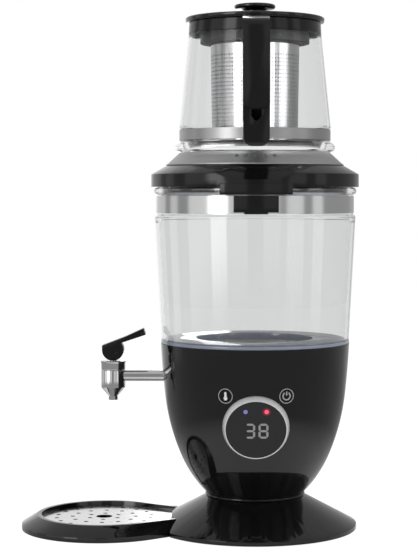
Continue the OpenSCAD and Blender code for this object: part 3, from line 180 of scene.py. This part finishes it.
# sheet steel with brush lines that run round the samovar's axis
roundAxis = (14, 14, 1600)


def strokes(f, along=roundAxis):
    return f.noise(1.0, 4.0, along, 0.6)


def brushed(name, colour, darker, rough, lines, along=roundAxis):
    made, f = material(name)
    stroke = strokes(f, along)
    cloud = f.noise(30.0, 2.0)
    tone = f.blend(stroke * 0.7 + cloud * 0.3, shade4(darker), shade4(colour))
    f.surface(Base_Color=tone, Metallic=1.0, Roughness=rough + stroke * 0.1,
              Normal=f.bump(stroke, lines, 0.0002))
    return made


# the infuser's steel, with painted shade on the inside of its wall so that the holes read dark; it is also
# rougher there
def sieveSteel(name, colour, insideShade, rough, foot, spread):
    made, f = material(name)
    stroke = strokes(f)
    x, y, z = f.axes()
    wall = (z - foot[1]) * spread + foot[0]
    paintedShadeInside = ((x * x + y * y) ** 0.5 - wall).below(0.0) * z.above(foot[1])
    # painted shade: the inside of the wall takes the darker colour
    tone = f.blend(paintedShadeInside, shade4(colour), shade4(insideShade))
    f.surface(Base_Color=tone, Metallic=1.0, Roughness=rough + stroke * 0.1 + paintedShadeInside * 0.3)
    return made


# the drip plate: bright on top, with painted shade down its holes
def piercedSteel(name, colour, holeShade, rough, top):
    made, f = material(name)
    stroke = strokes(f)
    deep = f.axes()[2].below(top)
    # below the top face, painted shade instead of bright steel
    f.surface(Base_Color=f.blend(deep, shade4(colour), shade4(holeShade)), Metallic=1 - deep,
              Roughness=rough + stroke * 0.1 + deep * 0.5)
    return made


# black plastic with painted shade, blacker still, inside the screw's recess
def withRecessShade(name, colour, recessShade, rough, front, half, low):
    made, f = material(name)
    cloud = f.noise(22.0, 3.0)
    x, y, z = f.axes()
    # painted shade inside the recess, which is also made rougher
    inside = y.above(front) * z.above(low) * (x * x).below(half * half)
    f.surface(Base_Color=f.blend(inside, shade4(colour), shade4(recessShade)), IOR=blackIndex,
              Roughness=rough + cloud * 0.05 + inside * 0.9)
    return made


# polished metal with the faintest ripple
def polished(name, colour, rough):
    made, f = material(name)
    cloud = f.noise(60.0, 3.0)
    tone = f.blend(cloud, shade4(colour), shade4([c * 0.93 for c in colour]))
    f.surface(Base_Color=tone, Metallic=1.0, Roughness=rough + cloud * 0.03, Normal=f.bump(cloud, 0.03, 0.0004))
    return made


# rubber and silicone
def rubbery(name, colour, darker, rough, ior=1.42, grain=0.08):
    made, f = material(name)
    cloud = f.noise(45.0, 3.0)
    fine = f.noise(1400.0, 1.0)
    tone = f.blend(cloud, shade4(colour), shade4(darker))
    f.surface(Base_Color=tone, Roughness=rough + fine * 0.06, IOR=ior, Normal=f.bump(fine, grain, 0.0003))
    return made


# clear glass: a low index keeps the thick walls' edges pale, and a coat mirrors once, on the outside
glassIndex = 1.07


def clearGlass(name, tint, paler, shine):
    made, f = material(name)
    wave = f.noise(14.0, 1.0)
    first = f.ray("Transmission Depth").below(0.5)
    skin = f.skin(Base_Color=f.blend(wave, shade4(tint), shade4(paler)), Roughness=0.002 + wave * 0.002,
                  IOR=glassIndex, Transmission_Weight=1.0, Coat_Weight=first, Coat_IOR=shine, Coat_Roughness=0.01)
    passing = f.ray("Is Shadow Ray") + f.ray("Is Diffuse Ray")
    clear = f.add("ShaderNodeBsdfTransparent", {}, {"Color": shade4([c * 1.08 for c in tint])})
    both = f.add("ShaderNodeMixShader", {}, {0: passing, 1: skin, 2: clear})
    f.add("ShaderNodeOutputMaterial", {}, {"Surface": both})
    return made


# lit numerals and pilot lamps
def glowing(name, colour, glow, strength, rough=0.25):
    made, f = material(name)
    cloud = f.noise(300.0, 2.0)
    tone = f.blend(cloud * 0.3, shade4(colour), shade4([c * 0.7 for c in colour]))
    light = f.blend(cloud * 0.25, shade4(glow), shade4([c * 0.75 for c in glow]))
    f.surface(Base_Color=tone, Roughness=rough + cloud * 0.05, Emission_Color=light, Emission_Strength=strength)
    return made


# the display's dark window, with the red pilot's glow painted round its lamp as emission from the window itself
def paintedGlowWindow(name, colour, glow, place, core, fade):
    made, f = material(name)
    fine = f.noise(900.0, 2.0)
    spot = f.add("ShaderNodeTexCoord", {}, {}, "Object")
    gap = f.add("ShaderNodeVectorMath", {"operation": "DISTANCE"}, {0: spot, 1: place}, "Value")
    # painted glow: the window emits, fading with distance from the red lamp
    near = f.add("ShaderNodeMapRange", {"interpolation_type": "SMOOTHSTEP"},
                 {"Value": gap, "From Min": core, "From Max": fade, "To Min": 1.0, "To Max": 0.0})
    f.surface(Base_Color=shade4(colour), Roughness=0.05 + fine * 0.02, IOR=1.4,
              Emission_Color=f.blend(near * near, (0, 0, 0, 1), shade4(glow)), Emission_Strength=1.0)
    return made


# steel that takes light from all sides
def satinSteel(name, colour, metal, rough):
    made, f = material(name)
    cloud = f.noise(40.0, 2.0)
    tone = f.blend(cloud, shade4(colour), shade4([c * 0.9 for c in colour]))
    f.surface(Base_Color=tone, Metallic=metal, Roughness=rough + cloud * 0.05)
    return made


# where the painted glow sits on the display window and how far it spreads
redPilotPaintedGlow = {"glow": (0.3, 0.008, 0.02), "place": (0.00925, -0.08665, 0.11761), "core": 0.0018, "fade": 0.0048}
finishes = {
    "black_gloss": plastic("bowlBlack", (0.0015, 0.0015, 0.0016), (0.003, 0.003, 0.0031), 0.03, 0.01),
    "black_satin": plastic("lidBlack", (0.002, 0.002, 0.0022), (0.005, 0.005, 0.0052), 0.08, 0.02, blackIndex),
    "black_matte": plastic("innerBlack", (0.02, 0.02, 0.021), (0.035, 0.035, 0.036), 0.5, 0.15),
    "rubber_dark": rubbery("footRubber", (0.02, 0.02, 0.02), (0.03, 0.03, 0.03), 0.6),
    "silicone_blue": rubbery("sealSilicone", (0.17, 0.19, 0.235), (0.15, 0.17, 0.21), 0.03, 1.5, 0.0),
    "silicone_clear": rubbery("lidSilicone", (0.45, 0.47, 0.5), (0.4, 0.42, 0.45), 0.35),
    "steel_brushed": brushed("bandSteel", (0.6, 0.6, 0.605), (0.51, 0.51, 0.515), 0.1, 0.05),
    "steel_polished": polished("tapChrome", (0.68, 0.68, 0.69), 0.06),
    "screw_steel": brushed("screwZinc", (0.5, 0.5, 0.51), (0.38, 0.38, 0.39), 0.3, 0.1, (300, 300, 300)),
    "tank_clear": clearGlass("tankGlass", (0.818, 0.821, 0.823), (0.826, 0.828, 0.83), 1.95),
    "window_dark": paintedGlowWindow("displayWindow", (0.004, 0.004, 0.005), **redPilotPaintedGlow),
    "digits_white": glowing("displayNumerals", (0.1, 0.1, 0.1), (0.68, 0.68, 0.68), 0.2),
    "led_blue": glowing("pilotBlue", (0.02, 0.02, 0.06), (0.17, 0.17, 0.42), 1.0),
    "led_red": glowing("pilotRed", (0.05, 0.005, 0.01), (1.0, 0.1, 0.2), 1.0),
    "board_green": plastic("boardGreen", (0.02, 0.12, 0.05), (0.03, 0.16, 0.07), 0.4, 0.1),
    "heater_alu": brushed("castPlate", (0.6, 0.6, 0.61), (0.5, 0.5, 0.51), 0.4, 0.2, (200, 200, 200)),
    "heater_tube": brushed("heatStained", (0.28, 0.26, 0.25), (0.16, 0.14, 0.14), 0.35, 0.1, (90, 90, 90)),
    "lead_red": rubbery("leadSleeve", (0.35, 0.03, 0.02), (0.28, 0.02, 0.015), 0.5),
    "ceramic": rubbery("cutoutCeramic", (0.6, 0.57, 0.5), (0.52, 0.49, 0.43), 0.5),
    "gasket_red": rubbery("gasketRubber", (0.25, 0.07, 0.05), (0.2, 0.05, 0.04), 0.6),
    "brass_nut": polished("nutBrass", (0.55, 0.4, 0.16), 0.2),
}
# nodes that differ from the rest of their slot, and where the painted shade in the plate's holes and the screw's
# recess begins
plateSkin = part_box("drip_plate")[1].z - 0.00012
recess = {"front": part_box("handle_bracket")[0].y + 0.0004, "half": 0.0052, "low": 0.3712}
ownFinish = {
    "base_foot": plastic("footBlack", (0.0015, 0.0015, 0.0016), (0.003, 0.003, 0.0031), 0.03, 0.01, 1.42),
    "drip_plate": piercedSteel("plateSteel", (0.57, 0.57, 0.575), (0.02, 0.02, 0.02), 0.1, plateSkin),
    "handle_bracket": withRecessShade("bracketBlack", (0.003, 0.003, 0.003), (0, 0, 0), 0.08, **recess),
    "display_bezel": satinSteel("bezelSatin", (0.63, 0.63, 0.64), 0.62, 0.32),
    "lever_pin": finishes["black_satin"],
    "teapot_glass": clearGlass("potGlass", (0.824, 0.827, 0.829), (0.832, 0.834, 0.836), 1.38),
    "boiler_cup": satinSteel("cupSteel", (0.95, 0.95, 0.96), 0.15, 0.3),
    "lid_dome": brushed("domeSteel", (0.45, 0.45, 0.455), (0.38, 0.38, 0.385), 0.42, 0.05),
    "teapot_band": brushed("waistSteel", (0.42, 0.42, 0.425), (0.36, 0.36, 0.365), 0.3, 0.05),
    # the handle's screws painted near black, as painted shade in their recess
    "handle_screws": plastic("screwPaintedShade", (0.001, 0.001, 0.001), (0.002, 0.002, 0.002), 0.9, 0.02, 1.1),
}
slotOf = {row["node"]: row["material_slot"] for row in frame["record"]["subparts"]}
for name, piece in cad.items():
    piece.data.materials.clear()
    piece.data.materials.append(ownFinish.get(name) or finishes[slotOf[name]])
print("samovar: finishes on every node")


bodyOf = {node: body for body, members in frame["record"]["behaviour"]["bodies"].items() for node in members}


# only this piece is selected while it is worked on
def alone(piece):
    bpy.ops.object.select_all(action="DESELECT")
    piece.select_set(True)
    bpy.context.view_layer.objects.active = piece
    return piece


def editing(on):
    bpy.ops.object.mode_set(mode="EDIT" if on else "OBJECT")


def pickAll(on=True):
    bpy.ops.mesh.select_all(action="SELECT" if on else "DESELECT")


def fresh(made, name):
    piece = bpy.data.objects.new(name, made)
    scene.collection.objects.link(piece)
    return alone(piece)


def applied(piece, kind, **settings):
    step = piece.modifiers.new("step", kind)
    for key, value in settings.items():
        setattr(step, key, value)
    alone(piece)
    bpy.ops.object.modifier_apply(modifier=step.name)


# the last steps of every piece: place in the mesh, shading, finish, body, and the nodes it stands for
def handOver(piece, name, slot, body, nodes=(), smooth=35, finish=None):
    alone(piece)
    bpy.ops.object.transform_apply(location=True, rotation=True, scale=True)
    editing(True)
    pickAll()
    bpy.ops.mesh.normals_make_consistent(inside=False)
    editing(False)
    bpy.ops.object.shade_smooth_by_angle(angle=math.radians(smooth))
    piece.name = piece.data.name = name
    piece.data.materials.clear()
    piece.data.materials.append(finish or finishes[slot])
    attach(piece, body)
    if nodes:
        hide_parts(*nodes)
    return piece


# a merged copy of a solid
def copied(name, node):
    piece = fresh(cad[node].data.copy(), name)
    editing(True)
    pickAll()
    bpy.ops.mesh.customdata_custom_splitnormals_clear()
    bpy.ops.mesh.remove_doubles(threshold=0.000004)
    editing(False)
    return piece


# a moulded or pressed piece: the solid with its edges rounded off
def softened(name, node, width, steps=3, corner=28, flat=0.4):
    piece = copied(name, node)
    editing(True)
    pickAll()
    bpy.ops.mesh.dissolve_limited(angle_limit=math.radians(flat))
    editing(False)
    applied(piece, "BEVEL", width=width * mm, segments=steps, limit_method="ANGLE",
            angle_limit=math.radians(corner), miter_outer="MITER_ARC")
    return handOver(piece, name, slotOf[node], bodyOf[node], (node,), finish=ownFinish.get(node))


roundings = {"base_foot": 0.9, "tank_lid": 0.8, "lid_dome": 0.35, "band_buckle": 0.9, "teapot_handle": 1.5,
             "handle_bracket": 1.2, "teapot_collar": 0.5, "teapot_lid": 0.6, "lid_knob": 0.7,
             "infuser_ring": 0.5, "tap_body": 0.5, "tap_bonnet": 0.4, "tap_lever": 0.9, "seal_ring": 0.8,
             "display_bezel": 0.25, "drip_tray": 0.6}
for node, width in roundings.items():
    softened(node.replace("_", "") + "Soft", node, width)
print("samovar: edges rounded on", len(roundings), "pieces")


# infuser: a ring of cells drawn down row by row, each cell opened in its middle
basket = {"columns": 88, "rows": 19, "firstRow": 438.0, "pitch": 3.55, "top": 41.5, "low": 39.8, "hookZ": 452.4,
          "floorZ": 353.6, "round": 2.0, "rim": 0.82, "floorRim": 0.6, "sheet": 0.55,
          "mouth": ((43.9, 0.5), (42.4, 0.5), (41.6, -0.2)), "plainAbove": (451.0, 445.0), "plainBelow": 362.0,
          "corner": ((39.78, 1.6), (39.2, 0.5), (38.0, 0.1)), "rings": (36.0, 32.4, 28.8, 25.2, 21.6, 18.0),
          "ringRise": 0.05, "floorTop": 0.07}
wallLow = basket["floorZ"] + basket["round"]


def basketRadius(z):
    return basket["low"] + (basket["top"] - basket["low"]) * (z - wallLow) / (basket["hookZ"] - wallLow)


rows = [basket["firstRow"] - i * basket["pitch"] for i in range(basket["rows"] + 1)]
levels = [(wide, basket["hookZ"] + high) for wide, high in basket["mouth"]]
levels += [(basketRadius(z), z) for z in (*basket["plainAbove"], *rows, basket["plainBelow"])]
levels += [(wide, basket["floorZ"] + high) for wide, high in basket["corner"]]
levels += [(wide, basket["floorZ"] + basket["ringRise"]) for wide in basket["rings"]]
bpy.ops.object.select_all(action="DESELECT")
bpy.ops.mesh.primitive_circle_add(vertices=basket["columns"], radius=levels[0][0] * mm,
                                  location=(0, 0, levels[0][1] * mm))
piece = bpy.context.object
bpy.ops.object.transform_apply(location=True)
editing(True)
for (wide, high), (narrow, low) in zip(levels, levels[1:]):
    bpy.ops.mesh.extrude_region_move(TRANSFORM_OT_translate={"value": (0, 0, (low - high) * mm)})
    bpy.ops.transform.resize(value=(narrow / wide, narrow / wide, 1), center_override=(0, 0, low * mm))
bpy.ops.mesh.edge_face_add()
bpy.ops.mesh.select_mode(type="FACE")


def onWall(c):
    return rows[-1] < c.z / mm < rows[0]


def onFloor(c):
    away = math.hypot(c.x, c.y) / mm
    flat = c.z / mm < basket["floorZ"] + basket["floorTop"]
    return flat and basket["rings"][-1] < away < basket["rings"][0]


for rim, wanted in ((basket["rim"], onWall), (basket["floorRim"], onFloor)):
    pickAll(False)
    editing(False)
    for face in piece.data.polygons:
        face.select = wanted(face.center)
    editing(True)
    bpy.ops.mesh.inset(thickness=rim * mm, use_individual=True)
    bpy.ops.mesh.delete(type="FACE")
bpy.ops.mesh.select_mode(type="VERT")
pickAll()
bpy.ops.mesh.normals_make_consistent(inside=False)
editing(False)
applied(piece, "SUBSURF", levels=1)
applied(piece, "SOLIDIFY", thickness=basket["sheet"] * mm, offset=1)
slope = (basket["top"] - basket["low"]) / (basket["hookZ"] - wallLow)
# the second colour is the painted shade inside the infuser's wall
sieve = sieveSteel("infuserSteel", (0.6, 0.6, 0.605), (0.12, 0.12, 0.12), 0.18,
                   ((basket["low"] - basket["sheet"] / 2) * mm, wallLow * mm), slope)
handOver(piece, "infuserMesh", "steel_brushed", "infuser", ("infuser_basket",), 40, sieve)
print("samovar: infuser with", basket["columns"] * basket["rows"], "holes")


# the valve's spring, copied into a mesh of its own; in the tap it shortens as the lever lifts the stem
piece = copied("valveCoil", "valve_spring")
handOver(piece, "valveCoil", slotOf["valve_spring"], bodyOf["valve_spring"], ("valve_spring",), 40)
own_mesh(piece)
print("samovar: valve spring")


# key marks: a printed ring with a thermometer on one key and a power sign on the other
keys = {"radius": 84.319, "z": 130.8, "lean": 5.939, "turn": 18.6, "proud": 0.15, "ink": 0.06,
        "ring": (6.0, 6.75), "stem": (2.1, -2.2, 2.65), "bulb": 1.77, "bulbLift": 0.01,
        "sign": (2.75, 3.95, 122, 418), "bar": (1.25, 1.0, 3.6), "hair": 0.01,
        "ringSteps": 64, "signSteps": 48, "bulbSteps": 32, "capSteps": 24}


def arcBand(paintedShadeInside, outer, start, end, steps):
    away = (math.cos(math.radians(start)), math.sin(math.radians(start)))
    bpy.ops.mesh.primitive_plane_add(size=mm, location=(paintedShadeInside * away[0] * mm, paintedShadeInside * away[1] * mm, 0))
    piece = bpy.context.object
    bpy.ops.object.transform_apply(location=True)
    editing(True)
    bpy.ops.mesh.merge(type="CENTER")
    step = (outer - paintedShadeInside) * mm
    bpy.ops.mesh.extrude_vertices_move(TRANSFORM_OT_translate={"value": (away[0] * step, away[1] * step, 0)})
    pickAll()
    bpy.ops.mesh.spin(steps=steps, angle=math.radians(end - start), center=(0, 0, 0), axis=(0, 0, -1))
    pickAll()
    bpy.ops.mesh.remove_doubles(threshold=0.000002)
    editing(False)
    return piece


def capsule(width, low, high):
    bpy.ops.mesh.primitive_circle_add(vertices=keys["capSteps"], radius=width / 2 * mm, fill_type="NGON",
                                      location=(0, low * mm, 0))
    piece = bpy.context.object
    bpy.ops.object.transform_apply(location=True)
    editing(True)
    pickAll(False)
    editing(False)
    for corner in piece.data.vertices:
        corner.select = corner.co.y > (low + keys["hair"]) * mm
    editing(True)
    bpy.ops.transform.translate(value=(0, (high - low) * mm, 0))
    editing(False)
    return piece


def inkMark(name, parts, side, body, finish):
    bpy.ops.object.select_all(action="DESELECT")
    for part in parts:
        part.select_set(True)
    bpy.context.view_layer.objects.active = parts[0]
    if len(parts) > 1:
        bpy.ops.object.join()
    piece = bpy.context.object
    editing(True)
    pickAll()
    bpy.ops.mesh.normals_make_consistent(inside=False)
    bpy.ops.mesh.extrude_region_move(TRANSFORM_OT_translate={"value": (0, 0, keys["ink"] * mm)})
    pickAll()
    bpy.ops.transform.translate(value=(0, 0, keys["proud"] * mm))
    editing(False)
    around = math.radians(side * keys["turn"])
    piece.rotation_euler = (math.radians(90 + keys["lean"]), 0, around)
    piece.location = (keys["radius"] * math.sin(around) * mm, -keys["radius"] * math.cos(around) * mm,
                      keys["z"] * mm)
    return handOver(piece, name, "digits_white", body, (), 30, finish)


keyInk = plastic("keyInk", (0.5, 0.5, 0.51), (0.62, 0.62, 0.63), 0.35, 0.05)
ringInk = plastic("ringInk", (0.22, 0.22, 0.225), (0.28, 0.28, 0.285), 0.35, 0.05)
inkMark("warmKeyRing", [arcBand(*keys["ring"], 0, 360, keys["ringSteps"])], -1, "warm_button", ringInk)
stem = capsule(*keys["stem"])
bpy.ops.mesh.primitive_circle_add(vertices=keys["bulbSteps"], radius=keys["bulb"] * mm, fill_type="NGON",
                                  location=(0, keys["stem"][1] * mm, keys["bulbLift"] * mm))
bulb = bpy.context.object
bpy.ops.object.transform_apply(location=True)
inkMark("warmKeyMark", [stem, bulb], -1, "warm_button", keyInk)
ring = arcBand(*keys["ring"], 0, 360, keys["ringSteps"])
sign = arcBand(*keys["sign"], keys["signSteps"])
inkMark("powerKeyMark", [ring, sign, capsule(*keys["bar"])], 1, "power_button", ringInk)
print("samovar: key marks")


# floor, light and backdrop
floorLook = {"size": 6.0, "colour": (0.86, 0.86, 0.86), "paler": (0.9, 0.9, 0.9), "white": 1.1, "share": 0.85,
             "near": (0.85, 0.85, 0.85), "nearEnd": 0.1, "farStart": 0.3}
bpy.ops.mesh.primitive_plane_add(size=floorLook["size"], location=(0, 0, 0))
floor = bpy.context.object
floor.name = floor.data.name = "studioFloor"
made, f = material("studioFloor")
speck = f.noise(8.0, 2.0)
mirrored = f.ray("Glossy Depth").above(0.5)
pale = f.blend(speck, shade4(floorLook["colour"]), shade4(floorLook["paler"]))
spot = f.add("ShaderNodeTexCoord", {}, {}, "Object")
reach = f.add("ShaderNodeVectorMath", {"operation": "LENGTH"}, {0: spot}, "Value")
away = f.add("ShaderNodeMapRange", {}, {"Value": reach, "From Min": floorLook["nearEnd"],
                                        "From Max": floorLook["farStart"]})
matte = f.add("ShaderNodeBsdfDiffuse", {}, {"Color": f.blend(mirrored, pale, shade4(floorLook["near"]))})
white = f.add("ShaderNodeEmission", {}, {"Color": (1, 1, 1, 1), "Strength": floorLook["white"]})
direct = (1 - mirrored) * f.ray("Diffuse Depth").below(0.5)
mixed = f.add("ShaderNodeMixShader", {}, {0: direct * floorLook["share"], 1: matte, 2: white})
beyond = f.add("ShaderNodeBsdfTransparent", {}, {"Color": (1, 1, 1, 1)})
seen = f.add("ShaderNodeMixShader", {}, {0: mirrored * away, 1: mixed, 2: beyond})
f.add("ShaderNodeOutputMaterial", {}, {"Surface": seen})
floor.data.materials.append(made)

# white backdrop, and round it the pale and grey cards that polished pieces mirror:
# bearing from the camera's side in degrees, right is positive, and the level from there on
cards = [(-180, 0.57), (-179.66, 3.5), (-177.0, 1.0), (-158, 0.8), (-127, 0.4), (-115, 0.85),
         (-101, 0.4), (-83, 1.0), (-52, 2.6), (-33, 0.8), (-9, 0.3), (9, 0.75),
         (28, 0.45), (36, 1.0), (57, 0.4), (69, 1.0), (84, 0.42), (142, 0.5),
         (176, 0.57)]
backdrop = {"soft": 0.55, "edge": 1.2, "sharp": 0.15, "behind": 175, "high": 0.6, "overhead": (0.55, 0.75),
            "under": 0.35, "lowFade": (-0.19, -0.12), "deep": 0.78, "deepFade": (-0.62, -0.42)}
# a tall lamp on the left, brighter than its card and ending just below the eye
strip = {"sides": (-56, -33.5), "fade": (-0.085, -0.015), "more": 1.4}
world = bpy.data.worlds.new("studio")
scene.world = world
world.use_nodes = True
w = Finish(world.node_tree)
through = w.ray("Transmission Depth")
plain = w.ray("Glossy Depth").below(0.5)
inGlass = (1 - plain) * through.above(0.5) * through.below(3.5)
direct = (plain + inGlass) * w.ray("Diffuse Depth").below(0.5)
diffuse = w.ray("Is Diffuse Ray")
eastward, northward, upward = w.axes("Generated")
turn = w.add("ShaderNodeMath", {"operation": "ARCTAN2"}, {0: eastward, 1: northward * -1.0})
bearing = turn * (180 / math.pi)


def ramp(value, start, end):
    return w.add("ShaderNodeMapRange", {"interpolation_type": "SMOOTHSTEP"},
                 {"Value": value, "From Min": start, "From Max": end})


level = cards[0][1]
for (start, shade), (_, last) in zip(cards[1:], cards):
    edge = backdrop["sharp"] if start < -backdrop["behind"] else backdrop["edge"]
    level = level + ramp(bearing, start - edge, start + edge) * (shade - last)
left, right = (ramp(bearing, side - backdrop["edge"], side + backdrop["edge"]) for side in strip["sides"])
level = level + left * (1 - right) * ramp(upward, *strip["fade"]) * strip["more"]
overhead = ramp(upward, *backdrop["overhead"])
level = level * (1 - overhead) + overhead * backdrop["high"]
low = 1 - ramp(upward, *backdrop["lowFade"])
deep = 1 - ramp(upward, *backdrop["deepFade"])
level = level * (1 - low) + low * (backdrop["under"] + deep * (backdrop["deep"] - backdrop["under"]))
strength = direct + (1 - direct) * (diffuse * backdrop["soft"] + (1 - diffuse) * level)
back = w.add("ShaderNodeBackground", {}, {"Color": (1, 1, 1, 1), "Strength": strength})
w.add("ShaderNodeOutputWorld", {}, {"Surface": back})


def softbox(name, place, size, power, target=(0, 0, 0.25)):
    lamp = bpy.data.lights.new(name, "AREA")
    lamp.shape = "RECTANGLE"
    lamp.size, lamp.size_y = size
    lamp.energy = power
    made = bpy.data.objects.new(name, lamp)
    made.location = place
    away = [t - p for t, p in zip(target, place)]
    tilt = math.atan2(math.hypot(away[0], away[1]), -away[2])
    made.rotation_euler = (tilt, 0, math.atan2(away[1], away[0]) - math.pi / 2)
    made.visible_glossy = False
    scene.collection.objects.link(made)


softbox("leftStrip", (-1.25, -1.2, 0.5), (0.25, 1.8), 12)
softbox("rightStrip", (1.3, -1.3, 0.5), (0.2, 1.8), 9)
softbox("rightFlood", (1.9, -0.4, 0.6), (0.9, 1.8), 14)
softbox("topFlood", (0, -0.3, 2.4), (1.8, 1.6), 26)
print("samovar: stage and light set")
